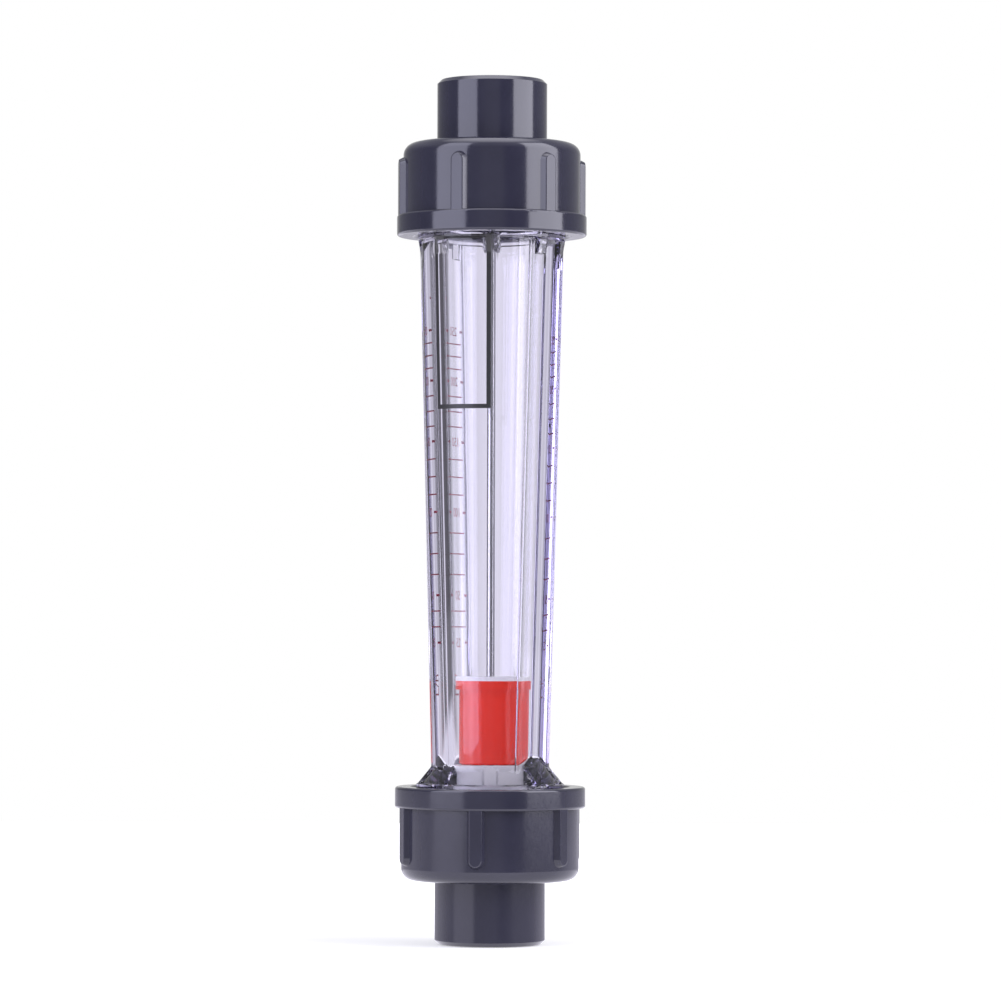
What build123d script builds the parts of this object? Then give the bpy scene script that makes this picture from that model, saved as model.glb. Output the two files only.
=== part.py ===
# Rotameter: clear tapered metering tube, red float on a guide rod, and a
# union nut with a socket tailpiece at each end.
# The model stands on its lower tailpiece. Z runs up the tube, and the front,
# where the printed panel is, faces -Y. An azimuth is counted in degrees from
# the front, growing towards +X. A height in an end fitting is counted from
# the outer face of that end, so both ends share the same values.

import os
from math import cos, radians, sin, sqrt

from build123d import *

# Whole meter: its length, and the width across a nut's flange
total_length = 200.0
nut_flange_radius = 22.0

# Socket tailpieces, for a pipe of 20 mm
socket_radius = 10.05
socket_depth = 16.0
socket_mouth_chamfer = 0.5
socket_ledge = 2.55
stub_wall = 2.7
stub_edge_chamfer = 0.9
collar_height = 4.0
collar_edge_fillet = 0.5

# Union nuts
nut_setback = 14.7
nut_height = 21.6
nut_wall = 2.55
nut_shoulder_fillet = 2.8
nut_end_wall = 3.6
nut_flange_overhang = 1.45
nut_flange_height = 4.9
nut_flange_fillet = 0.6
nut_mouth_chamfer = 0.6
nut_grip_count = 6
nut_grip_length = 12.7
nut_grip_width = 2.8
nut_grip_flank_slope = 0.48
nut_grip_below_flange = 0.2
nut_grip_edge_fillet = 0.3
lower_nut_azimuth = -9.0
upper_nut_azimuth = -21.7

# Metering tube: outside taper, bore and the two flats, one for the scale
tube_low_height = 43.5
tube_high_setback = 39.5
tube_high_inset = 1.49
tube_low_share = 0.8239
tube_wall_share = 0.3016
flat_width = 14.7
flat_azimuth = 60.0
thread_lead_chamfer = 0.7
thread_recess = 0.6
flare_slope = 1.33
flare_foot_inset = 1.4
gusset_count = 8
gusset_width = 3.5
gusset_foot_inset = 0.8
gusset_foot_height = 0.3
gusset_rise = 4.8
gusset_root_sink = 1.0

# Rod holders and the recess for each in the tube's ends
holder_recess_depth = 5.0
holder_rim_wall = 1.9
holder_hub_radius = 3.0
holder_hub_reach = 1.65
holder_nut_recess = 1.0
holder_arm_count = 3
holder_arm_width = 1.8
holder_arm_height = 3.0

# Seal rings, and the tube's walls outside and inside their grooves
seal_groove_width = 2.2
seal_groove_depth = 1.6
seal_outer_wall = 1.4
seal_inner_wall = 0.7

# Guide rod and its nuts
rod_radius = 0.95
rod_nut_across_flats = 4.0
rod_nut_height = 1.6
rod_end_stand_out = 0.75

# Float
float_height = 19.3
float_gap = 0.51
float_rim_overhang = 0.86
float_rim_height = 2.0
float_foot_chamfer = 0.4
float_shell_wall = 1.6
float_floor = 1.6
float_sleeve_wall = 1.1
float_cap_height = 1.0
float_cap_spigot = 1.2
float_cap_edge_fillet = 0.2

# Stops of the float: a liner in the bore's foot, and a sleeve high on the rod
lower_stop_length = 14.0
lower_stop_wall = 1.9
upper_stop_radius = 2.4
upper_stop_length = 4.7
stop_edge_fillet = 0.3

# Clearances
thread_clearance = 0.1
stub_clearance = 0.3
collar_radial_clearance = 0.9
collar_seat_gap = 0.05
face_gap = 0.05
holder_radial_clearance = 0.1
holder_face_gap = 0.1
rod_running_clearance = 0.08
rod_fixed_clearance = 0.04
seal_side_clearance = 0.1
seal_face_gap = 0.02
ballast_clearance = 0.1
stop_gap = 0.1
stop_seat_gap = 0.05
stop_liner_clearance = 0.1

# Places worked out from the sizes above
middle = Plane.XY.offset(total_length / 2)
nut_face = nut_setback
nut_seat = nut_setback + nut_end_wall
nut_rim = nut_setback + nut_height
nut_radius = nut_flange_radius - nut_flange_overhang
nut_bore_radius = nut_radius - nut_wall
thread_radius = nut_bore_radius - thread_clearance
stub_radius = socket_radius + stub_wall
waterway_radius = socket_radius - socket_ledge
collar_low = nut_seat + collar_seat_gap
collar_face = collar_low + collar_height
collar_radius = thread_radius - collar_radial_clearance
tube_face = collar_face + face_gap
tube_high_height = total_length - tube_high_setback
tube_high_radius = thread_radius - tube_high_inset
tube_low_radius = tube_high_radius * tube_low_share
tube_taper = (tube_high_radius - tube_low_radius) / (tube_high_height - tube_low_height)
tube_wall = tube_high_radius * tube_wall_share
bore_low_radius = tube_low_radius - tube_wall
bore_high_radius = tube_high_radius - tube_wall
flare_foot_radius = thread_radius - flare_foot_inset
gusset_foot_radius = thread_radius - gusset_foot_inset
seal_groove_radius = thread_radius - seal_outer_wall - seal_groove_width / 2
holder_recess_radius = seal_groove_radius - seal_groove_width / 2 - seal_inner_wall
holder_seat = tube_face + holder_recess_depth
hub_outer = tube_face + holder_nut_recess
hub_inner = holder_seat + holder_hub_reach
rod_bore_fixed = rod_radius + rod_fixed_clearance
rod_bore_running = rod_radius + rod_running_clearance
rod_end = hub_outer - rod_nut_height - rod_end_stand_out
lower_stop_foot = holder_seat + stop_seat_gap
lower_stop_radius = bore_low_radius - stop_liner_clearance
upper_stop_top = total_length - hub_inner - stop_seat_gap
float_rest_height = lower_stop_foot + lower_stop_length + stop_gap
float_rim_radius = bore_low_radius - float_gap
float_radius = float_rim_radius - float_rim_overhang
float_top = float_rest_height + float_height
float_cavity_radius = float_radius - float_shell_wall
float_sleeve_radius = rod_bore_running + float_sleeve_wall
float_cavity_low = float_rest_height + float_floor

os.makedirs("parts", exist_ok=True)


def tube_radius(height):
    """Outer radius of the tapered tube at a height over the lower end."""
    return tube_low_radius + tube_taper * (height - tube_low_height)


def radial(azimuth):
    """Unit direction that points away from the axis at an azimuth."""
    return (sin(radians(azimuth)), -cos(radians(azimuth)))


def radial_plane(azimuth):
    """Plane through the axis: local x points outwards, local y points up."""
    x, y = radial(azimuth)
    return Plane(origin=(0, 0, 0), x_dir=(x, y, 0), z_dir=(y, -x, 0))


def tangent_plane(azimuth, radius, height):
    """Plane across a radius: local x runs round the axis, local y points up."""
    x, y = radial(azimuth)
    origin = (x * radius, y * radius, height)
    return Plane(origin=origin, x_dir=(-y, x, 0), z_dir=(x, y, 0))


def save(part, label):
    """Label a finished piece and write it to its own file."""
    part.label = label
    export_step(part, f"parts/{label}.step")


def save_pair(piece, name):
    """Write a piece of the lower end, and its mirror image at the upper end."""
    save(piece.part, f"lower_{name}")
    with BuildPart() as upper:
        add(mirror(piece.part, about=middle, mode=Mode.PRIVATE))
    save(upper.part, f"upper_{name}")


# Grip: one raised bar of a union nut, at azimuth 0, with a round far end
def make_grip():
    outer_radius = nut_flange_radius - nut_grip_below_flange
    inner_radius = nut_radius - 1.0
    flange_foot = nut_rim - nut_flange_height
    bar_top = flange_foot + nut_flange_height / 2
    bar_length = nut_grip_length + nut_flange_height / 2
    with BuildPart() as grip:
        for radius in (inner_radius, outer_radius):
            spread = nut_grip_flank_slope * (outer_radius - radius)
            width = nut_grip_width + 2 * spread
            with BuildSketch(tangent_plane(0, radius, bar_top - bar_length / 2)):
                SlotOverall(bar_length + 2 * spread, width, rotation=90)
        loft()
        fillet(grip.faces().sort_by(Axis.Y)[0].edges(), nut_grip_edge_fillet)
        # The bar ends inside the flange, so its upper round end is cut off.
        top_cut = Plane.XY.offset(flange_foot + nut_flange_height / 2)
        split(bisect_by=top_cut, keep=Keep.BOTTOM)
    return grip


# Union nut of the lower end, its first grip at the given azimuth
def make_nut(first_azimuth):
    grip = make_grip()
    flange_foot = nut_rim - nut_flange_height
    with BuildPart() as nut:
        with BuildSketch(Plane.XY.offset(nut_face)):
            Circle(nut_radius)
        extrude(amount=nut_height)
        with BuildSketch(Plane.XY.offset(flange_foot)):
            Circle(nut_flange_radius)
        extrude(amount=nut_flange_height)
        outer_rims = nut.edges().filter_by(GeomType.CIRCLE)
        fillet(outer_rims.sort_by(Axis.Z)[0], nut_shoulder_fillet)
        flange_rims = nut.edges().filter_by(
            lambda edge: edge.geom_type == GeomType.CIRCLE
            and abs(edge.radius - nut_flange_radius) < 0.01
        )
        fillet(flange_rims, nut_flange_fillet)
        with PolarLocations(0, nut_grip_count, start_angle=first_azimuth):
            add(grip.part)
        with BuildSketch(Plane.XY.offset(nut_seat)):
            Circle(nut_bore_radius)
        extrude(amount=nut_height, mode=Mode.SUBTRACT)
        with BuildSketch(Plane.XY.offset(nut_face)):
            Circle(stub_radius + stub_clearance)
        extrude(amount=nut_end_wall, mode=Mode.SUBTRACT)
        mouth = nut.edges().filter_by(
            lambda edge: edge.geom_type == GeomType.CIRCLE
            and abs(edge.radius - nut_bore_radius) < 0.01
        )
        chamfer(mouth.sort_by(Axis.Z)[-1], nut_mouth_chamfer)
    return nut


lower_nut = make_nut(lower_nut_azimuth)
save(lower_nut.part, "lower_union_nut")

with BuildPart() as upper_nut:
    add(mirror(make_nut(upper_nut_azimuth).part, about=middle, mode=Mode.PRIVATE))
save(upper_nut.part, "upper_union_nut")

# Tailpiece: pipe socket outside, waterway inside, and the sealing collar
with BuildPart() as tailpiece:
    with BuildSketch(Plane.XY):
        Circle(stub_radius)
    extrude(amount=collar_face)
    with BuildSketch(Plane.XY.offset(collar_low)):
        Circle(collar_radius)
    extrude(amount=collar_height)
    with BuildSketch(Plane.XY):
        Circle(socket_radius)
    extrude(amount=socket_depth, mode=Mode.SUBTRACT)
    with BuildSketch(Plane.XY):
        Circle(waterway_radius)
    extrude(amount=collar_face, mode=Mode.SUBTRACT)
    end_rims = tailpiece.edges().filter_by(GeomType.CIRCLE).group_by(Axis.Z)[0]
    chamfer(end_rims.sort_by(SortBy.RADIUS)[-1], stub_edge_chamfer)
    mouth_rims = tailpiece.edges().filter_by(GeomType.CIRCLE).group_by(Axis.Z)[0]
    chamfer(mouth_rims.sort_by(SortBy.RADIUS)[0], socket_mouth_chamfer)
    collar_rims = tailpiece.edges().filter_by(
        lambda edge: edge.geom_type == GeomType.CIRCLE
        and abs(edge.radius - collar_radius) < 0.01
    )
    fillet(collar_rims, collar_edge_fillet)
save_pair(tailpiece, "tailpiece")

# Seal ring: squeezed to its groove, so its section is a rounded rectangle
seal_width = seal_groove_width - 2 * seal_side_clearance
seal_height = seal_groove_depth + face_gap - 2 * seal_face_gap
with BuildPart() as seal_ring:
    with BuildSketch(Plane.XZ):
        with Locations((seal_groove_radius, collar_face + seal_face_gap + seal_height / 2)):
            RectangleRounded(seal_width, seal_height, 0.45 * seal_height)
    revolve(axis=Axis.Z)
save_pair(seal_ring, "seal_ring")

# Rod holder: rim in the tube's recess, three arms and a hub round the rod
holder_radius = holder_recess_radius - holder_radial_clearance
holder_bore_radius = holder_radius - holder_rim_wall
with BuildPart() as rod_holder:
    with BuildSketch(Plane.XY.offset(tube_face + holder_face_gap)):
        Circle(holder_radius)
        Circle(holder_bore_radius, mode=Mode.SUBTRACT)
    extrude(amount=holder_recess_depth - holder_face_gap)
    with BuildSketch(Plane.XY.offset(hub_outer)):
        Circle(holder_hub_radius)
    extrude(amount=hub_inner - hub_outer)
    with BuildSketch(Plane.XY.offset(holder_seat - holder_arm_height)):
        arm_reach = holder_bore_radius + holder_rim_wall / 2
        with PolarLocations(arm_reach / 2, holder_arm_count, start_angle=90):
            Rectangle(arm_reach, holder_arm_width)
    extrude(amount=holder_arm_height)
    with BuildSketch(Plane.XY.offset(hub_outer)):
        Circle(rod_bore_fixed)
    extrude(amount=hub_inner - hub_outer, mode=Mode.SUBTRACT)
save_pair(rod_holder, "rod_holder")

# Rod nut: a small hexagon nut outside each holder
with BuildPart() as rod_nut:
    with BuildSketch(Plane.XY.offset(hub_outer - rod_nut_height)):
        RegularPolygon(rod_nut_across_flats / 2, 6, major_radius=False)
        Circle(rod_bore_fixed, mode=Mode.SUBTRACT)
    extrude(amount=rod_nut_height)
save_pair(rod_nut, "rod_nut")

with BuildPart() as guide_rod:
    with BuildSketch(Plane.XY.offset(rod_end)):
        Circle(rod_radius)
    extrude(amount=total_length - 2 * rod_end)
    chamfer(guide_rod.edges().filter_by(GeomType.CIRCLE), rod_radius / 4)
save(guide_rod.part, "guide_rod")

# Gusset at azimuth 0, from the nut's mouth at one rim to the tube
def make_gusset(rim, rise):
    inner_radius = flare_foot_radius - gusset_width
    with BuildPart() as gusset:
        with BuildSketch(radial_plane(0)):
            with BuildLine():
                Polyline(
                    (inner_radius, rim),
                    (gusset_foot_radius, rim),
                    (gusset_foot_radius, rim + gusset_foot_height * rise / abs(rise)),
                    (tube_radius(rim + rise), rim + rise),
                    (tube_radius(rim + rise) - gusset_root_sink, rim + rise),
                    close=True,
                )
            make_face()
        extrude(amount=gusset_width / 2, both=True)
    return gusset


# Metering tube: tapered body, flats, flares, gussets, threaded ends and bore
flat_low_distance = sqrt(tube_low_radius**2 - (flat_width / 2) ** 2)
flat_high_distance = sqrt(tube_high_radius**2 - (flat_width / 2) ** 2)
flat_slope = (flat_high_distance - flat_low_distance) / (tube_high_height - tube_low_height)
flat_cut_reach = 2 * thread_radius
upper_rim = total_length - nut_rim
flare_height = flare_slope * (flare_foot_radius - bore_low_radius)

with BuildPart() as metering_tube:
    with BuildSketch(Plane.XZ):
        with BuildLine():
            Polyline(
                (0, nut_rim),
                (tube_radius(nut_rim), nut_rim),
                (tube_radius(upper_rim), upper_rim),
                (0, upper_rim),
                close=True,
            )
        make_face()
    revolve(axis=Axis.Z)
    # Two opposite flats that follow the taper
    low_distance = flat_low_distance + flat_slope * (nut_rim - tube_low_height)
    high_distance = flat_low_distance + flat_slope * (upper_rim - tube_low_height)
    for azimuth in (flat_azimuth, flat_azimuth + 180):
        with BuildSketch(radial_plane(azimuth)):
            with BuildLine():
                Polyline(
                    (low_distance, nut_rim),
                    (flat_cut_reach, nut_rim),
                    (flat_cut_reach, upper_rim),
                    (high_distance, upper_rim),
                    close=True,
                )
            make_face()
        extrude(amount=thread_radius, both=True, mode=Mode.SUBTRACT)
    for rim, inward in ((nut_rim, 1), (upper_rim, -1)):
        # Conical flare between the tube and its threaded end
        shoulder = rim - inward * thread_recess
        with BuildSketch(Plane.XZ):
            with BuildLine():
                Polyline(
                    (0, shoulder),
                    (flare_foot_radius, shoulder),
                    (flare_foot_radius, rim),
                    (bore_low_radius, rim + inward * flare_height),
                    (0, rim + inward * flare_height),
                    close=True,
                )
            make_face()
        revolve(axis=Axis.Z)
        gusset = make_gusset(rim, inward * gusset_rise)
        with PolarLocations(0, gusset_count):
            add(gusset.part)
        # Threaded end, its crest as a plain cylinder
        face = tube_face if inward > 0 else total_length - tube_face
        with BuildSketch(Plane.XZ):
            with BuildLine():
                Polyline(
                    (0, face),
                    (thread_radius - thread_lead_chamfer, face),
                    (thread_radius, face + inward * thread_lead_chamfer),
                    (thread_radius, shoulder),
                    (0, shoulder),
                    close=True,
                )
            make_face()
        revolve(axis=Axis.Z)
        # Groove for the seal ring in the end face
        with BuildSketch(Plane.XZ):
            with Locations((seal_groove_radius, face)):
                Rectangle(seal_groove_width, 2 * seal_groove_depth)
        revolve(axis=Axis.Z, mode=Mode.SUBTRACT)
    # Bore, and the recess for the rod holder at each end
    with BuildSketch(Plane.XZ):
        with BuildLine():
            Polyline(
                (0, tube_face),
                (holder_recess_radius, tube_face),
                (holder_recess_radius, holder_seat),
                (bore_low_radius, holder_seat),
                (bore_low_radius, tube_low_height),
                (bore_high_radius, tube_high_height),
                (bore_high_radius, total_length - holder_seat),
                (holder_recess_radius, total_length - holder_seat),
                (holder_recess_radius, total_length - tube_face),
                (0, total_length - tube_face),
                close=True,
            )
        make_face()
    revolve(axis=Axis.Z, mode=Mode.SUBTRACT)
save(metering_tube.part, "metering_tube")

# Float body: one moulding with a rim, a floor and a sleeve round the rod
with BuildPart() as float_body:
    with BuildSketch(Plane.XY.offset(float_rest_height)):
        Circle(float_radius)
    extrude(amount=float_height)
    chamfer(float_body.edges().sort_by(Axis.Z)[0], float_foot_chamfer)
    with BuildSketch(Plane.XY.offset(float_top - float_rim_height)):
        Circle(float_rim_radius)
    extrude(amount=float_rim_height)
    with BuildSketch(Plane.XY.offset(float_cavity_low)):
        Circle(float_cavity_radius)
        Circle(float_sleeve_radius, mode=Mode.SUBTRACT)
    extrude(amount=float_top - float_cavity_low, mode=Mode.SUBTRACT)
    with BuildSketch(Plane.XY.offset(float_top - float_cap_spigot)):
        Circle(float_cavity_radius)
    extrude(amount=float_cap_spigot, mode=Mode.SUBTRACT)
    with BuildSketch(Plane.XY.offset(float_rest_height)):
        Circle(rod_bore_running)
    extrude(amount=float_height, mode=Mode.SUBTRACT)
save(float_body.part, "float_body")

# Float ballast: a steel sleeve in the float's cavity
with BuildPart() as float_ballast:
    with BuildSketch(Plane.XY.offset(float_cavity_low + ballast_clearance)):
        Circle(float_cavity_radius - ballast_clearance)
        Circle(float_sleeve_radius + ballast_clearance, mode=Mode.SUBTRACT)
    extrude(amount=float_top - float_cap_spigot - float_cavity_low - 2 * ballast_clearance)
save(float_ballast.part, "float_ballast")

# Float cap: the white reading edge on top, with a spigot in the cavity
with BuildPart() as float_cap:
    with BuildSketch(Plane.XY.offset(float_top)):
        Circle(float_rim_radius)
    extrude(amount=float_cap_height)
    fillet(float_cap.edges().sort_by(Axis.Z)[-1], float_cap_edge_fillet)
    with BuildSketch(Plane.XY.offset(float_top - float_cap_spigot + face_gap)):
        Circle(float_cavity_radius - ballast_clearance)
    extrude(amount=float_cap_spigot - face_gap)
    with BuildSketch(Plane.XY.offset(float_top - float_cap_spigot)):
        Circle(rod_bore_running)
    extrude(amount=float_cap_spigot + float_cap_height, mode=Mode.SUBTRACT)
save(float_cap.part, "float_cap")

# Lower stop: a liner that stands on the holder's arms and carries the float
with BuildPart() as lower_stop:
    with BuildSketch(Plane.XY.offset(lower_stop_foot)):
        Circle(lower_stop_radius)
        Circle(lower_stop_radius - lower_stop_wall, mode=Mode.SUBTRACT)
    extrude(amount=lower_stop_length)
    fillet(lower_stop.edges().group_by(Axis.Z)[-1], stop_edge_fillet)
save(lower_stop.part, "lower_stop_liner")

# Upper stop: a sleeve on the rod, against the upper holder's hub
with BuildPart() as upper_stop:
    with BuildSketch(Plane.XY.offset(upper_stop_top - upper_stop_length)):
        Circle(upper_stop_radius)
        Circle(rod_bore_fixed, mode=Mode.SUBTRACT)
    extrude(amount=upper_stop_length)
    outer_rims = upper_stop.edges().filter_by(
        lambda edge: edge.geom_type == GeomType.CIRCLE
        and abs(edge.radius - upper_stop_radius) < 0.01
    )
    fillet(outer_rims, stop_edge_fillet)
save(upper_stop.part, "upper_stop_sleeve")
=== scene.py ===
from math import asin, atan2, cos, degrees, pi, radians, sin, sqrt

import bmesh
import bpy
from mathutils import Matrix, Vector


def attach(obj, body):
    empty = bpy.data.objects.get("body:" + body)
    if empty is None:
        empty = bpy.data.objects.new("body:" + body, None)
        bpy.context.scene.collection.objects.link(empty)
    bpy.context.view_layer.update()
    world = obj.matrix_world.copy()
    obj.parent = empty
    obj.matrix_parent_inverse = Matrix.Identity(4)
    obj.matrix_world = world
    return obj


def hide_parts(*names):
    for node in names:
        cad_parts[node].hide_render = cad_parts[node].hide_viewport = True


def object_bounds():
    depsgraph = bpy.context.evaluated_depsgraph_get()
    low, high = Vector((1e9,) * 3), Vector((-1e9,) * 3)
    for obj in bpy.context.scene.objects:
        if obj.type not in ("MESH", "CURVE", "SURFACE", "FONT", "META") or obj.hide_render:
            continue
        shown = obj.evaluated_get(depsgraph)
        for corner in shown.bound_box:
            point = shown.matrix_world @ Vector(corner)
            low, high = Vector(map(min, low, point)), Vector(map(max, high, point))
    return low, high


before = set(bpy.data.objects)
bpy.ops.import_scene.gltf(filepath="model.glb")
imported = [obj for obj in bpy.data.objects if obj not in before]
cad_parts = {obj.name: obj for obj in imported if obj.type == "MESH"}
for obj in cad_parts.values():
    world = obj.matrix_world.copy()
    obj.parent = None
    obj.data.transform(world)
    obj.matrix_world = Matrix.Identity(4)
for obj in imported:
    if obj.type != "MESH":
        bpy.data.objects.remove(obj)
cad_low, cad_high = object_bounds()

# Lengths are in millimetres until a finished mesh is scaled to metres.
# An azimuth is in degrees from the front, -Y, growing towards +X.
MM = 0.001

# The meter's length is the CAD model's. The tube's other sizes repeat the CAD model's,
# or belong to what is finer than that model.
TOTAL_LENGTH = round(cad_high[2] / MM, 3)
TUBE_LOW_HEIGHT = 43.5
TUBE_LOW_RADIUS = 13.52
TUBE_HIGH_HEIGHT = 160.5
TUBE_HIGH_RADIUS = 16.41
TUBE_WALL = 4.949
FLAT_WIDTH = 14.7
FLAT_AZIMUTH = 60.0
TUBE_FACE = 22.4
THREAD_END = 35.7
THREAD_CREST = 17.85
THREAD_ROOT = 17.0
THREAD_PITCH = 3.0
THREAD_LEAD = 0.7
THREAD_CREST_SHARE = 0.2
THREAD_FLANK_SHARE = 0.55
THREAD_RUNOUT_START = 0.2
THREAD_RUNOUT_END = 1.4
NUT_RIM = 36.3
FLARE_FOOT = 16.5
FLARE_SLOPE = 1.33
FLARE_BLEND = 0.3
FOOT_RING_RADIUS = 17.1
FOOT_RING_HEIGHT = 0.9
GUSSET_COUNT = 8
GUSSET_WIDTH = 3.3
GUSSET_EDGE = 0.35
GUSSET_FOOT = FOOT_RING_RADIUS
GUSSET_FOOT_HEIGHT = 0.3
GUSSET_RISE = 4.8
HOLDER_RECESS_RADIUS = 13.6
HOLDER_SEAT = 27.4
SEAL_GROOVE_INNER = 14.3
SEAL_GROOVE_OUTER = 16.5
SEAL_GROOVE_DEPTH = 1.6

# A flat lies within its reach of azimuth. Its edges are rounded, with a fine bead along
# each of them.
FLAT_REACH = 60.0
CREASE_BLEND = 0.26
BEAD_HEIGHT = 0.22
BEAD_REACH = 0.52

# The tube's mesh: its columns round the axis, and its rows, which are close together
# except along the plain middle. The columns between two azimuths from a flat's middle
# are drawn together, to lie within a reach of the flat's edge.
TUBE_COLUMNS = 360
ROW_STEP = 0.3
PLAIN_ROW_STEP = 5.0
PLAIN_LOW = 45.0
PLAIN_HIGH = TOTAL_LENGTH - PLAIN_LOW
CREASE_COLUMNS_START = 24
CREASE_COLUMNS_END = 36
CREASE_REACH = 2.2
TUBE_EDGE_ANGLE = 32

# Marks for the outside points of the tube's section, which get their own radius later
THREAD_MARK = 30.0
BODY_MARK = 40.0

# A print lies through the tube's surface: a little over it and a little in it. Before
# it is laid there, its front and back stand a half depth from their middle.
PRINT_OUT = 0.02
PRINT_IN = 0.03
PRINT_HALF_DEPTH = 0.5
MERGE_DISTANCE = 0.0001

# The middle range of a noise, where most of its values lie
NOISE_LOW = 0.3
NOISE_HIGH = 0.7


class Value:
    """A shader socket, so that maths on it is written as an expression."""

    def __init__(self, shader, socket):
        self.shader = shader
        self.socket = socket

    def maths(self, operation, first, second):
        made = self.shader.node("Math", {0: first, 1: second}, operation=operation)
        return Value(self.shader, made.outputs[0])

    def __add__(self, other):
        return self.maths("ADD", self, other)

    def __radd__(self, other):
        return self.maths("ADD", other, self)

    def __mul__(self, other):
        return self.maths("MULTIPLY", self, other)

    def __rmul__(self, other):
        return self.maths("MULTIPLY", other, self)

    def __truediv__(self, other):
        return self.maths("DIVIDE", self, other)

    def __rtruediv__(self, other):
        return self.maths("DIVIDE", other, self)


class Shader:
    """A node tree, with the one call that adds a node to it."""

    def __init__(self, tree):
        self.tree = tree
        tree.nodes.clear()

    def node(self, kind, sockets=None, stops=None, **settings):
        made = self.tree.nodes.new("ShaderNode" + kind)
        for name, setting in settings.items():
            setattr(made, name, setting)
        if stops:
            elements = made.color_ramp.elements
            elements.remove(elements[1])
            elements[0].position = stops[0][0]
            elements[0].color = (*stops[0][1], 1.0)
            for position, colour in stops[1:]:
                elements.new(position).color = (*colour, 1.0)
        for name, value in (sockets or {}).items():
            if isinstance(value, Value):
                self.tree.links.new(value.socket, made.inputs[name])
            else:
                made.inputs[name].default_value = value
        return made

    def value(self, kind, sockets=None, output=0, **settings):
        made = self.node(kind, sockets, **settings)
        return Value(self, made.outputs[output])

    def place(self):
        """Object coordinates in metres."""
        return self.value("TexCoord", output="Object")

    def noise(self, place, scale, detail=3.0, stretch=(1, 1, 1)):
        """Noise of a scale per metre. A stretch below 1 draws it out along an axis."""
        stretched = self.value("Mapping", {"Vector": place, "Scale": stretch})
        return self.value("TexNoise", {"Vector": stretched, "Scale": scale, "Detail": detail})

    def spread(self, value, low, high, new_low=0.0, new_high=1.0):
        """A value from low to high, spread over a new range and held at its ends."""
        sockets = {"Value": value, 1: low, 2: high, 3: new_low, 4: new_high}
        return self.value("MapRange", sockets)

    def vary(self, noise, low, high):
        """A noise's middle range, spread from low to high."""
        return self.spread(noise, NOISE_LOW, NOISE_HIGH, low, high)

    def mix(self, mask, first, second):
        """The first colour where the mask is 0, the second where it is 1."""
        return self.value("Mix", {0: mask, 6: first, 7: second}, output=2, data_type="RGBA")

    def around(self, turn, levels, tint=(1, 1, 1)):
        """Brightness by azimuth, from pairs of azimuth and level, in one tint."""
        top = max(level for _, level in levels)
        stops = [(angle / 360 + 0.5, (level / top,) * 3) for angle, level in levels]
        band = self.value("ValToRGB", {0: turn}, stops=stops)
        colour = tuple(top * part for part in tint)
        scaled = self.node("VectorMath", {0: band, 1: colour}, operation="MULTIPLY")
        return Value(self, scaled.outputs[0])

    def bump(self, height, strength, distance):
        sockets = {"Height": height, "Strength": strength, "Distance": distance}
        return self.value("Bump", sockets)

    def surface(self, **sockets):
        named = {name.replace("_", " "): value for name, value in sockets.items()}
        finish = self.node("BsdfPrincipled", named)
        output = self.node("OutputMaterial")
        self.tree.links.new(finish.outputs[0], output.inputs["Surface"])
        return output


def new_shader(name):
    material = bpy.data.materials.new(name)
    material.use_nodes = True
    return material, Shader(material.node_tree)


def clear_plastic():
    """Clear moulded plastic, faintly lavender, with soft flow waves in it."""
    material, shader = new_shader("clear_plastic")
    place = shader.place()
    waves = shader.noise(place, 60.0, detail=2.0, stretch=(1, 1, 0.15))
    haze = shader.noise(place, 900.0, detail=4.0)
    output = shader.surface(
        Base_Color=shader.mix(waves, (0.985, 0.98, 1.0, 1), (1.0, 0.995, 1.0, 1)),
        Roughness=shader.spread(haze, 0.35, 0.75, 0.0, 0.03),
        Normal=shader.bump(waves, 0.05, 0.0002),
        IOR=1.5,
        Transmission_Weight=1.0,
    )
    depth = shader.node("VolumeAbsorption", {"Color": (0.79, 0.75, 0.96, 1), "Density": 52.0})
    shader.tree.links.new(depth.outputs[0], output.inputs["Volume"])
    return material


def slate_plastic():
    """Glossy dark slate plastic, with the faint ripple and dust of a moulding."""
    material, shader = new_shader("slate_plastic")
    place = shader.place()
    cloud = shader.noise(place, 90.0)
    grain = shader.noise(place, 2600.0)
    ripple = shader.noise(place, 260.0, detail=2.0)
    tone = shader.vary(cloud, 0.0, 1.0)
    shader.surface(
        Base_Color=shader.mix(tone, (0.021, 0.0205, 0.037, 1), (0.026, 0.0255, 0.045, 1)),
        Roughness=shader.vary(grain, 0.09, 0.17),
        Normal=shader.bump(grain * 0.3 + ripple, 0.10, 0.00006),
        IOR=1.62,
    )
    return material


def red_plastic():
    """Glossy red plastic of the float."""
    material, shader = new_shader("red_plastic")
    place = shader.place()
    cloud = shader.noise(place, 180.0)
    grain = shader.noise(place, 3000.0)
    shader.surface(
        Base_Color=shader.mix(cloud, (0.88, 0.016, 0.002, 1), (0.95, 0.026, 0.004, 1)),
        Roughness=shader.vary(grain, 0.16, 0.28),
        Normal=shader.bump(grain, 0.08, 0.00005),
    )
    return material


def white_plastic():
    """Satin white plastic of the float's cap, the holders and the stops."""
    material, shader = new_shader("white_plastic")
    place = shader.place()
    cloud = shader.noise(place, 240.0)
    grain = shader.noise(place, 3200.0)
    shader.surface(
        Base_Color=shader.mix(cloud, (0.85, 0.85, 0.84, 1), (0.92, 0.92, 0.92, 1)),
        Roughness=shader.vary(grain, 0.28, 0.42),
        Normal=shader.bump(grain, 0.10, 0.00006),
    )
    return material


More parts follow.
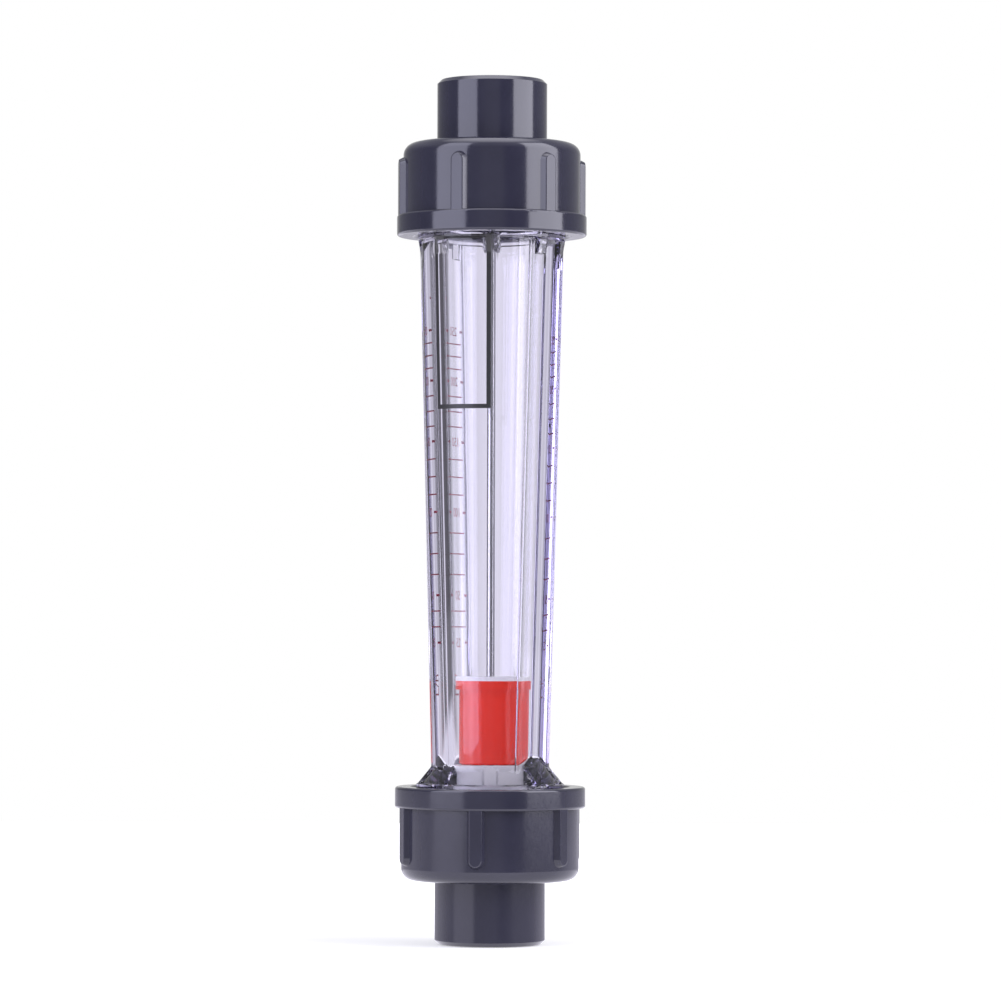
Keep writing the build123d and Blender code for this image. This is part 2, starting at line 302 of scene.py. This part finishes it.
def drawn_steel():
    """Drawn stainless steel, with fine lines along the rod."""
    material, shader = new_shader("drawn_steel")
    place = shader.place()
    lines = shader.noise(place, 3000.0, stretch=(1, 1, 0.02))
    stain = shader.noise(place, 120.0)
    shader.surface(
        Base_Color=shader.mix(stain, (0.44, 0.44, 0.46, 1), (0.56, 0.56, 0.58, 1)),
        Metallic=1.0,
        Roughness=shader.vary(lines, 0.10, 0.24),
        Normal=shader.bump(lines, 0.25, 0.00004),
    )
    return material


def seal_rubber():
    """Matt black rubber."""
    material, shader = new_shader("seal_rubber")
    place = shader.place()
    bloom = shader.noise(place, 400.0, detail=4.0)
    grain = shader.noise(place, 4000.0)
    shader.surface(
        Base_Color=shader.mix(bloom, (0.014, 0.014, 0.015, 1), (0.028, 0.028, 0.030, 1)),
        Roughness=shader.vary(grain, 0.62, 0.82),
        Normal=shader.bump(grain, 0.30, 0.00008),
    )
    return material


def ink(name, thin, thick):
    """Printed ink, a little uneven where it lies thinner."""
    material, shader = new_shader(name)
    place = shader.place()
    cover = shader.noise(place, 1800.0, detail=4.0)
    shader.surface(
        Base_Color=shader.mix(shader.vary(cover, 0.0, 1.0), (*thin, 1), (*thick, 1)),
        Roughness=shader.vary(cover, 0.30, 0.46),
        Normal=shader.bump(cover, 0.15, 0.00003),
    )
    return material


def finish_piece(bm, name, material, body, edge_angle=None):
    """Scale a mesh in millimetres to metres and give it its material and body."""
    bmesh.ops.scale(bm, vec=(MM, MM, MM), verts=bm.verts)
    mesh = bpy.data.meshes.new(name)
    bm.to_mesh(mesh)
    bm.free()
    if edge_angle is None:
        mesh.shade_flat()
    else:
        mesh.shade_smooth()
        mesh.set_sharp_from_angle(angle=radians(edge_angle))
    piece = bpy.data.objects.new(name, mesh)
    bpy.context.scene.collection.objects.link(piece)
    mesh.materials.append(material)
    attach(piece, body)
    return piece


def between(low, high, step):
    """Places from low to high, both included, about a step apart."""
    count = max(round((high - low) / step), 1)
    return [low + (high - low) * index / count for index in range(count + 1)]


def ramp(value, low, high):
    """Smooth step from 0 at low to 1 at high."""
    share = min(max((value - low) / (high - low), 0.0), 1.0)
    return share * share * (3 - 2 * share)


def soft_min(first, second, blend):
    """The smaller of two radii, rounded where they cross."""
    reach = max(blend - abs(first - second), 0.0) / blend
    return min(first, second) - blend * reach * reach / 4


def tube_radius(height):
    """Radius of the tube's taper, without its flats."""
    taper = (TUBE_HIGH_RADIUS - TUBE_LOW_RADIUS) / (TUBE_HIGH_HEIGHT - TUBE_LOW_HEIGHT)
    return TUBE_LOW_RADIUS + taper * (height - TUBE_LOW_HEIGHT)


def flat_distance(height):
    """Distance of the flats from the axis."""
    low = sqrt(TUBE_LOW_RADIUS**2 - (FLAT_WIDTH / 2) ** 2)
    high = sqrt(TUBE_HIGH_RADIUS**2 - (FLAT_WIDTH / 2) ** 2)
    share = (height - TUBE_LOW_HEIGHT) / (TUBE_HIGH_HEIGHT - TUBE_LOW_HEIGHT)
    return low + (high - low) * share


def from_flat(azimuth):
    """Azimuth counted from the nearer flat's middle, -90 to 90."""
    return (azimuth - FLAT_AZIMUTH + 90) % 180 - 90


def crease_offset(height):
    """Azimuth of a flat's edge, counted from the flat's middle."""
    return degrees(asin(FLAT_WIDTH / 2 / tube_radius(height)))


def follow_crease(azimuth, height):
    """Shift a column of the mesh so that many run close along each edge of a flat."""
    offset = from_flat(azimuth)
    crease = crease_offset(height)
    stops = (
        (0, 0),
        (CREASE_COLUMNS_START, crease - CREASE_REACH),
        (CREASE_COLUMNS_END, crease + CREASE_REACH),
        (90, 90),
    )
    for (start, first), (end, last) in zip(stops, stops[1:]):
        if abs(offset) <= end:
            moved = first + (last - first) * (abs(offset) - start) / (end - start)
            break
    return azimuth + (moved if offset > 0 else -moved) - offset


def thread_radius(azimuth, height):
    """Outside of a threaded end: a right-hand thread, chamfered at the end face, that
    runs out before the nut's rim."""
    from_face = min(height, TOTAL_LENGTH - height) - TUBE_FACE
    from_end = THREAD_END - TUBE_FACE - from_face
    phase = (height / THREAD_PITCH - (azimuth - 90) / 360) % 1
    from_crest = abs(phase - 0.5) * 2 - THREAD_CREST_SHARE
    flank = min(max(from_crest / THREAD_FLANK_SHARE, 0.0), 1.0)
    runout = ramp(from_end, THREAD_RUNOUT_START, THREAD_RUNOUT_END)
    depth = (THREAD_CREST - THREAD_ROOT) * flank * runout
    return min(THREAD_CREST - depth, THREAD_CREST - THREAD_LEAD + from_face)


def body_radius(azimuth, height):
    """Outside of the tube between its threads: taper, flats, flares and gussets."""
    around = tube_radius(height)
    off_flat = abs(from_flat(azimuth))
    if off_flat < FLAT_REACH:
        around = soft_min(around, flat_distance(height) / cos(radians(off_flat)), CREASE_BLEND)
    apart = radians(off_flat - crease_offset(height)) * around / BEAD_REACH
    if abs(apart) < 1:
        around += BEAD_HEIGHT * sqrt(1 - apart * apart)
    rise = max(min(height, TOTAL_LENGTH - height) - NUT_RIM, 0.0)
    flare = FLARE_FOOT - rise / FLARE_SLOPE
    around = -soft_min(-around, -flare, FLARE_BLEND)
    if rise < FOOT_RING_HEIGHT:
        around = FOOT_RING_RADIUS
    if rise >= GUSSET_RISE:
        return around
    tip_height = NUT_RIM + GUSSET_RISE
    if height > TOTAL_LENGTH / 2:
        tip_height = TOTAL_LENGTH - tip_height
    share = max(rise - GUSSET_FOOT_HEIGHT, 0.0) / (GUSSET_RISE - GUSSET_FOOT_HEIGHT)
    edge = GUSSET_FOOT + (tube_radius(tip_height) - GUSSET_FOOT) * share
    spacing = 360 / GUSSET_COUNT
    offset = radians((azimuth + spacing / 2) % spacing - spacing / 2)
    across = edge * abs(sin(offset))
    inside = 1 - ramp(across, GUSSET_WIDTH / 2 - GUSSET_EDGE, GUSSET_WIDTH / 2 + GUSSET_EDGE)
    return max(around, around + (edge / cos(offset) - around) * inside)


def tube_profile():
    """Closed section of the tube, its outside rows at their marks."""
    top = TOTAL_LENGTH
    bore_low = TUBE_LOW_RADIUS - TUBE_WALL
    bore_high = TUBE_HIGH_RADIUS - TUBE_WALL
    stretches = (
        (THREAD_END, NUT_RIM, ROW_STEP),
        (NUT_RIM, PLAIN_LOW, ROW_STEP),
        (PLAIN_LOW, PLAIN_HIGH, PLAIN_ROW_STEP),
        (PLAIN_HIGH, top - NUT_RIM, ROW_STEP),
        (top - NUT_RIM, top - THREAD_END, ROW_STEP),
    )
    body_rows = [THREAD_END]
    for low, high, step in stretches:
        body_rows += between(low, high, step)[1:]
    low_thread = between(TUBE_FACE, THREAD_END, ROW_STEP)
    high_thread = between(top - THREAD_END, top - TUBE_FACE, ROW_STEP)
    points = [(THREAD_MARK, height) for height in low_thread]
    points += [(BODY_MARK, height) for height in body_rows]
    points += [(THREAD_MARK, height) for height in high_thread]
    # Corners of an end face, from its rim inwards: radius and depth from the face
    corners = (
        (SEAL_GROOVE_OUTER, 0),
        (SEAL_GROOVE_OUTER, SEAL_GROOVE_DEPTH),
        (SEAL_GROOVE_INNER, SEAL_GROOVE_DEPTH),
        (SEAL_GROOVE_INNER, 0),
        (HOLDER_RECESS_RADIUS, 0),
        (HOLDER_RECESS_RADIUS, HOLDER_SEAT - TUBE_FACE),
    )
    points += [(radius, top - TUBE_FACE - depth) for radius, depth in corners]
    points += [(bore_high, height) for height in (top - HOLDER_SEAT, TUBE_HIGH_HEIGHT)]
    points += [(bore_low, height) for height in (TUBE_LOW_HEIGHT, HOLDER_SEAT)]
    points += [(radius, TUBE_FACE + depth) for radius, depth in reversed(corners)]
    return points


def make_tube(material):
    """The metering tube: its section spun round, then its outside brought to shape."""
    bm = bmesh.new()
    corners = [bm.verts.new((radius, 0, height)) for radius, height in tube_profile()]
    sides = [bm.edges.new((corners[i - 1], corners[i])) for i in range(len(corners))]
    bmesh.ops.spin(
        bm,
        geom=corners + sides,
        cent=(0, 0, 0),
        axis=(0, 0, 1),
        angle=2 * pi,
        steps=TUBE_COLUMNS,
        use_merge=True,
    )
    for vert in bm.verts:
        mark = vert.co.xy.length
        if mark < (SEAL_GROOVE_OUTER + THREAD_MARK) / 2:
            continue
        azimuth = degrees(atan2(vert.co.x, -vert.co.y))
        height = vert.co.z
        if mark < (THREAD_MARK + BODY_MARK) / 2:
            radius = thread_radius(azimuth, height)
        else:
            azimuth = follow_crease(azimuth, height)
            radius = body_radius(azimuth, height)
        vert.co.x = radius * sin(radians(azimuth))
        vert.co.y = -radius * cos(radians(azimuth))
    bmesh.ops.recalc_face_normals(bm, faces=bm.faces)
    tube = finish_piece(bm, "metering_tube_moulding", material, "tube", TUBE_EDGE_ANGLE)
    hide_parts("metering_tube")


# The border printed on the tube's front, blank inside
BORDER_LEFT = -52.5
BORDER_RIGHT = -0.6
BORDER_LOW = 123.3
BORDER_HIGH = 163.2
BORDER_WIDTH = 1.0
BORDER_COLUMN = 0.5
BORDER_EDGE_ANGLE = 40


def make_border(material):
    """A rectangle's outline, laid round the tube's taper."""
    bm = bmesh.new()
    middle = radians(BORDER_LEFT + BORDER_RIGHT) / 2
    half_turn = radians(BORDER_RIGHT - BORDER_LEFT) / 2
    middle_height = (BORDER_LOW + BORDER_HIGH) / 2
    half_width = half_turn * tube_radius(middle_height)
    half_height = (BORDER_HIGH - BORDER_LOW) / 2
    bmesh.ops.create_grid(bm, x_segments=1, y_segments=1, size=1.0)
    bmesh.ops.scale(bm, vec=(half_width, half_height, 1), verts=bm.verts)
    inner = bmesh.ops.inset_region(
        bm,
        faces=bm.faces[:],
        thickness=BORDER_WIDTH,
        use_boundary=True,
        use_even_offset=True,
    )
    ring = set(inner["faces"])
    bmesh.ops.delete(bm, geom=[face for face in bm.faces if face not in ring], context="FACES")
    for column in between(-half_width, half_width, BORDER_COLUMN)[1:-1]:
        everything = bm.verts[:] + bm.edges[:] + bm.faces[:]
        bmesh.ops.bisect_plane(bm, geom=everything, plane_co=(column, 0, 0), plane_no=(1, 0, 0))
    made = bmesh.ops.extrude_face_region(bm, geom=bm.faces[:])
    for vert in made["geom"]:
        if isinstance(vert, bmesh.types.BMVert):
            vert.co.z = 2 * PRINT_HALF_DEPTH
    for vert in bm.verts:
        height = middle_height + vert.co.y
        radius = tube_radius(height) + (PRINT_OUT if vert.co.z > PRINT_HALF_DEPTH else -PRINT_IN)
        angle = middle + vert.co.x / tube_radius(middle_height)
        vert.co = Vector((radius * sin(angle), -radius * cos(angle), height))
    bmesh.ops.recalc_face_normals(bm, faces=bm.faces)
    finish_piece(bm, "panel_border", material, "tube", BORDER_EDGE_ANGLE)


# The flow scale printed on the flat at the back left. Places across it are counted
# from the flat's middle. Each number stands at a height, between a long dash and a
# short one, and fine lines divide the way up to the next number.
SCALE_AZIMUTH = FLAT_AZIMUTH - 180
SCALE_NEAR = 5.0
SCALE_FAR = -5.3
SCALE_LINE = 0.3
SCALE_DASH = 0.55
SCALE_DASH_LENGTH = 2.3
SCALE_SHORT_DASH_OUT = 0.9
SCALE_SHORT_DASH_IN = 0.6
SCALE_NUMBER_SIZE = 2.1
SCALE_NUMBER_MIDDLE = -0.9
SCALE_NUMBERS = (
    (69.6, "25"), (80.6, "50"), (99.9, "100"), (116.3, "150"), (130.4, "200"), (142.1, "250"),
)
SCALE_FIRST_PARTS = 3
SCALE_PARTS = 4
SCALE_UNIT = "L/h"
SCALE_UNIT_HEIGHT = 59.8
SCALE_UNIT_MIDDLE = 1.0
SCALE_UNIT_SIZE = 3.0
SCALE_UNIT_TURN = 90
SCALE_DOT_HEIGHT = 149.6
SCALE_DOT_LENGTH = 0.8
LETTER_CURVE_STEPS = 3


def on_flat(bm):
    """Stand a flat print, x across and y up, on the scale's flat."""
    azimuth = radians(SCALE_AZIMUTH)
    out = Vector((sin(azimuth), -cos(azimuth), 0))
    across = Vector((cos(azimuth), sin(azimuth), 0))
    for vert in bm.verts:
        over = PRINT_OUT if vert.co.z > 0 else -PRINT_IN
        distance = flat_distance(vert.co.y) + over
        vert.co = out * distance + across * vert.co.x + Vector((0, 0, vert.co.y))


def add_bar(bm, left, right, height, width):
    """One printed line, a closed bar across the flat."""
    made = bmesh.ops.create_cube(bm, size=2 * PRINT_HALF_DEPTH)
    bmesh.ops.scale(bm, vec=(right - left, width, 1.0), verts=made["verts"])
    bmesh.ops.translate(bm, vec=((left + right) / 2, height, 0), verts=made["verts"])


def add_words(bm, words, middle, height, size, turn):
    """Digits or letters of one height, turned by an angle on the flat."""
    curve = bpy.data.curves.new("scale_words", "FONT")
    curve.body = words
    curve.extrude = PRINT_HALF_DEPTH
    curve.align_x = "CENTER"
    curve.resolution_u = LETTER_CURVE_STEPS
    lettering = bpy.data.objects.new("scale_words", curve)
    bpy.context.scene.collection.objects.link(lettering)
    bpy.context.view_layer.update()
    words_mesh = bpy.data.meshes.new_from_object(lettering)
    bpy.data.objects.remove(lettering)
    lows = [min(vert.co[axis] for vert in words_mesh.vertices) for axis in (0, 1)]
    highs = [max(vert.co[axis] for vert in words_mesh.vertices) for axis in (0, 1)]
    scale = size / (highs[1] - lows[1])
    centre = [(low + high) / 2 for low, high in zip(lows, highs)]
    words_mesh.transform(Matrix.Translation((-centre[0], -centre[1], 0)))
    words_mesh.transform(Matrix.Diagonal((scale, scale, 1, 1)))
    words_mesh.transform(Matrix.Rotation(radians(turn), 4, "Z"))
    words_mesh.transform(Matrix.Translation((middle, height, 0)))
    bm.from_mesh(words_mesh)
    bpy.data.meshes.remove(words_mesh)


def make_scale(material):
    """Lines, dashes, numbers and unit of the flow scale."""
    bm = bmesh.new()
    for index, (height, words) in enumerate(SCALE_NUMBERS):
        add_bar(bm, SCALE_NEAR - SCALE_DASH_LENGTH, SCALE_NEAR, height, SCALE_DASH)
        short_start = SCALE_FAR - SCALE_SHORT_DASH_OUT
        short_end = SCALE_FAR + SCALE_SHORT_DASH_IN
        add_bar(bm, short_start, short_end, height, SCALE_DASH)
        add_words(bm, words, SCALE_NUMBER_MIDDLE, height, SCALE_NUMBER_SIZE, 0)
        if index + 1 == len(SCALE_NUMBERS):
            break
        next_height = SCALE_NUMBERS[index + 1][0]
        parts = SCALE_FIRST_PARTS if index == 0 else SCALE_PARTS
        for step in range(1, parts):
            line = height + (next_height - height) * step / parts
            add_bar(bm, SCALE_FAR, SCALE_NEAR, line, SCALE_LINE)
    add_words(bm, SCALE_UNIT, SCALE_UNIT_MIDDLE, SCALE_UNIT_HEIGHT, SCALE_UNIT_SIZE, SCALE_UNIT_TURN)
    add_bar(bm, SCALE_NEAR - SCALE_DOT_LENGTH, SCALE_NEAR, SCALE_DOT_HEIGHT, SCALE_DASH)
    bmesh.ops.remove_doubles(bm, verts=bm.verts, dist=MERGE_DISTANCE)
    on_flat(bm)
    bmesh.ops.recalc_face_normals(bm, faces=bm.faces)
    finish_piece(bm, "flow_scale", material, "tube")


def dress(node, material):
    """Give a CAD node its material."""
    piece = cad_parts[node]
    for slot in piece.material_slots:
        slot.material = material
    if not piece.material_slots:
        piece.data.materials.append(material)


# The studio by azimuth, as pairs of azimuth and level. Clear pieces show the room, and
# the table below its edge. Gloss shows the room, the table and the table's foot.
ROOM_BEHIND_GLASS = (
    (-180, 1.0), (-175, 0.84), (-171, 0.64), (-164, 0.64), (-156, 0.7), (-151, 0.5), (-146, 0.3),
    (-133, 0.12), (-131.5, 0.95), (-128.5, 0.95), (-127, 0.12), (-107, 0.12), (-99, 0.5), (-85, 0.7),
    (-34, 0.7), (-18, 0.5), (-13, 0.2), (-9, 0.2), (-6, 0.7), (5, 0.7), (8, 0.15), (42, 0.15), (46, 3.4),
    (62, 3.4), (66, 0.55), (94, 0.65), (130, 0.7), (146, 0.78), (163, 0.68), (168, 0.82), (175, 0.88),
    (180, 1.0),
)
TABLE_BEHIND_GLASS = (
    (-180, 0.95), (-150, 0.85), (-100, 0.82), (-85, 0.5), (-30, 0.12), (60, 0.1), (110, 0.2), (140, 0.65),
    (160, 0.85), (180, 0.95),
)
ROOM_IN_GLOSS = (
    (-180, 0.8), (-150, 0.3), (-85, 0.15), (-30, 0.12), (-10, 0.3), (12, 0.3), (20, 0.08), (40, 0.12),
    (100, 0.2), (150, 0.4), (180, 0.8),
)
TABLE_IN_GLOSS = (
    (-180, 0.6), (-135, 0.8), (-110, 1.15), (-60, 1.65), (-40, 1.3), (-25, 0.8), (-8, 0.4), (12, 0.3),
    (25, 0.12), (40, 0.2), (55, 0.35), (85, 0.5), (120, 0.9), (180, 0.6),
)
FOOT_IN_GLOSS = (
    (-180, 0.4), (-120, 0.9), (-100, 0.7), (-84, 0.45), (-78, 1.3), (-37, 1.45), (-31, 0.25), (-8, 0.35),
    (12, 0.3), (25, 0.12), (40, 0.25), (55, 0.45), (85, 0.5), (120, 0.9), (180, 0.6),
)
TINT_BEHIND_GLASS = (0.94, 0.93, 1.0)
TINT_IN_GLOSS = (0.95, 0.92, 1.08)

# The studio's plain parts, which are the same all round. The fill lights dull surfaces.
FLOOR_BEHIND_GLASS = (0.86, 0.85, 0.93, 1)
CEILING_BEHIND_GLASS = (1.3, 1.3, 1.3, 1)
FLOOR_IN_GLOSS = (1.35, 1.32, 1.5, 1)
WALL_IN_GLOSS = (0.55, 0.55, 0.6, 1)
CEILING_IN_GLOSS = (3.0, 2.95, 3.2, 1)
FILL = (0.55, 0.55, 0.56, 1)
WHITE_BACKDROP = (1, 1, 1, 1)

# Where one part of the studio gives way to the next one up, as the share of a look's
# direction that points up, from and to
FLOOR_EDGE_BEHIND_GLASS = (-0.11, -0.08)
TABLE_EDGE_BEHIND_GLASS = (-0.022, -0.017)
CEILING_EDGE_BEHIND_GLASS = (0.15, 0.3)
FLOOR_EDGE_IN_GLOSS = (-0.13, -0.08)
FOOT_EDGE_IN_GLOSS = (-0.060, -0.058)
TABLE_EDGE_IN_GLOSS = (-0.041, -0.037)
WALL_EDGE_IN_GLOSS = (0.3, 0.6)
CEILING_EDGE_IN_GLOSS = (0.8, 0.97)


def stack(shader, up, lowest, layers):
    """Light by height: the lowest part, then each edge with the part above it."""
    light = lowest
    for (low, high), above in layers:
        light = shader.mix(shader.spread(up, low, high), light, above)
    return light


def make_world():
    """White studio: the camera sees white, while clear pieces and gloss show a room."""
    world = bpy.data.worlds.new("studio")
    bpy.context.scene.world = world
    world.use_nodes = True
    shader = Shader(world.node_tree)
    way = shader.value("TexCoord", output="Generated")
    parts = shader.node("SeparateXYZ", {0: way})
    ahead = Value(shader, parts.outputs["Y"]) * -1
    side = Value(shader, parts.outputs["X"])
    turn = side.maths("ARCTAN2", side, ahead) / (2 * pi) + 0.5
    up = Value(shader, parts.outputs["Z"])
    seen = stack(shader, up, FLOOR_BEHIND_GLASS, (
        (FLOOR_EDGE_BEHIND_GLASS, shader.around(turn, TABLE_BEHIND_GLASS, TINT_BEHIND_GLASS)),
        (TABLE_EDGE_BEHIND_GLASS, shader.around(turn, ROOM_BEHIND_GLASS, TINT_BEHIND_GLASS)),
        (CEILING_EDGE_BEHIND_GLASS, CEILING_BEHIND_GLASS),
    ))
    gloss = stack(shader, up, FLOOR_IN_GLOSS, (
        (FLOOR_EDGE_IN_GLOSS, shader.around(turn, FOOT_IN_GLOSS, TINT_IN_GLOSS)),
        (FOOT_EDGE_IN_GLOSS, shader.around(turn, TABLE_IN_GLOSS, TINT_IN_GLOSS)),
        (TABLE_EDGE_IN_GLOSS, shader.around(turn, ROOM_IN_GLOSS)),
        (WALL_EDGE_IN_GLOSS, WALL_IN_GLOSS),
        (CEILING_EDGE_IN_GLOSS, CEILING_IN_GLOSS),
    ))
    path = shader.node("LightPath")
    camera_ray = Value(shader, path.outputs["Is Camera Ray"])
    through = Value(shader, path.outputs["Is Transmission Ray"])
    glossy = Value(shader, path.outputs["Is Glossy Ray"])
    colour = shader.mix(glossy, FILL, gloss)
    colour = shader.mix(through, colour, seen)
    colour = shader.mix(camera_ray, colour, WHITE_BACKDROP)
    background = shader.node("Background", {"Color": colour, "Strength": 1.0})
    output = shader.node("OutputWorld")
    shader.tree.links.new(background.outputs[0], output.inputs["Surface"])


# Lamps, floor and camera are placed in metres.
SOFTBOX_DISTANCE = 0.80
SOFTBOX_HEIGHT = 1.2
SOFTBOX_MIDDLE = 0.612


def make_softbox(name, azimuth, width, power, colour):
    """A tall soft lamp that faces the meter."""
    lamp = bpy.data.lights.new(name, "AREA")
    lamp.shape = "RECTANGLE"
    lamp.size = width
    lamp.size_y = SOFTBOX_HEIGHT
    lamp.energy = power
    lamp.color = colour
    box = bpy.data.objects.new(name, lamp)
    bpy.context.scene.collection.objects.link(box)
    angle = radians(azimuth)
    spot = Vector((SOFTBOX_DISTANCE * sin(angle), -SOFTBOX_DISTANCE * cos(angle), SOFTBOX_MIDDLE))
    box.location = spot
    aim = Vector((0, 0, SOFTBOX_MIDDLE)) - spot
    box.rotation_euler = aim.to_track_quat("-Z", "Y").to_euler()
    return box


FLOOR_HALF_WIDTH = 0.6
FLOOR_GAP = 0.0002
FLOOR_GLOW_START = 0.04
FLOOR_GLOW_END = 0.35
FLOOR_GLOW_BEHIND_GLASS = 0.4


def make_floor():
    """Pale floor that keeps the meter's shadow, and glows white away from it."""
    bm = bmesh.new()
    bmesh.ops.create_grid(bm, x_segments=1, y_segments=1, size=FLOOR_HALF_WIDTH)
    bmesh.ops.translate(bm, vec=(0, 0, -FLOOR_GAP), verts=bm.verts)
    mesh = bpy.data.meshes.new("floor")
    bm.to_mesh(mesh)
    bm.free()
    ground = bpy.data.objects.new("floor", mesh)
    bpy.context.scene.collection.objects.link(ground)
    ground.visible_glossy = False
    material, shader = new_shader("floor_paper")
    path = shader.node("LightPath")
    through = Value(shader, path.outputs["Is Transmission Ray"])
    seen = Value(shader, path.outputs["Is Camera Ray"]) + through * FLOOR_GLOW_BEHIND_GLASS
    place = shader.place()
    paper = shader.noise(place, 60.0)
    away = shader.value("VectorMath", {0: place}, output="Value", operation="LENGTH")
    lit = shader.spread(away, FLOOR_GLOW_START, FLOOR_GLOW_END)
    glow = shader.mix(lit, (0.40, 0.40, 0.40, 1), (1, 1, 1, 1))
    shader.surface(
        Base_Color=shader.mix(paper, (0.78, 0.78, 0.78, 1), (0.80, 0.80, 0.80, 1)),
        Roughness=0.9,
        Specular_IOR_Level=0.0,
        Emission_Color=shader.mix(seen, (0, 0, 0, 1), glow),
        Emission_Strength=1.0,
    )
    mesh.materials.append(material)


SENSOR_WIDTH_MM = 36.0
LENS_MM = 172.3
CAMERA_PLACE = (0, -1.110, 0.0794)
CAMERA_TARGET = (0.0022, 0, 0.1025)
CAMERA_ROLL = 0.18


def make_camera():
    """The photograph's view: a long lens a little below the meter's middle."""
    lens = bpy.data.cameras.new("view")
    lens.sensor_width = SENSOR_WIDTH_MM
    lens.lens = LENS_MM
    camera = bpy.data.objects.new("view", lens)
    bpy.context.scene.collection.objects.link(camera)
    camera.location = CAMERA_PLACE
    aim = Vector(CAMERA_TARGET) - camera.location
    level = aim.to_track_quat("-Z", "Y").to_matrix()
    roll = Matrix.Rotation(radians(CAMERA_ROLL), 3, "Z")
    camera.rotation_euler = (level @ roll).to_euler()
    bpy.context.scene.camera = camera


make_camera()
make_world()
make_softbox("left_softbox", azimuth=-53.5, width=0.646, power=7.9, colour=(0.80, 0.80, 1.0))
right_softbox = make_softbox(
    "right_softbox", azimuth=69.5, width=0.729, power=12.0, colour=(0.90, 0.89, 1.0),
)
# Seen through the tube's wall, this softbox would veil the float.
right_softbox.visible_transmission = False
make_floor()

CLEAR = clear_plastic()
SLATE = slate_plastic()
RED = red_plastic()
WHITE = white_plastic()
STEEL = drawn_steel()
RUBBER = seal_rubber()
BLACK_INK = ink("black_ink", (0.020, 0.020, 0.022), (0.010, 0.010, 0.012))
RED_INK = ink("red_ink", (0.46, 0.03, 0.06), (0.32, 0.012, 0.04))

make_tube(CLEAR)
make_border(BLACK_INK)
make_scale(RED_INK)

for end in ("lower", "upper"):
    dress(f"{end}_union_nut", SLATE)
    dress(f"{end}_tailpiece", SLATE)
    dress(f"{end}_seal_ring", RUBBER)
    dress(f"{end}_rod_holder", WHITE)
    dress(f"{end}_rod_nut", STEEL)
dress("guide_rod", STEEL)
dress("float_ballast", STEEL)
dress("float_body", RED)
dress("float_cap", WHITE)
dress("lower_stop_liner", WHITE)
dress("upper_stop_sleeve", WHITE)

bpy.context.scene.view_settings.view_transform = "Standard"
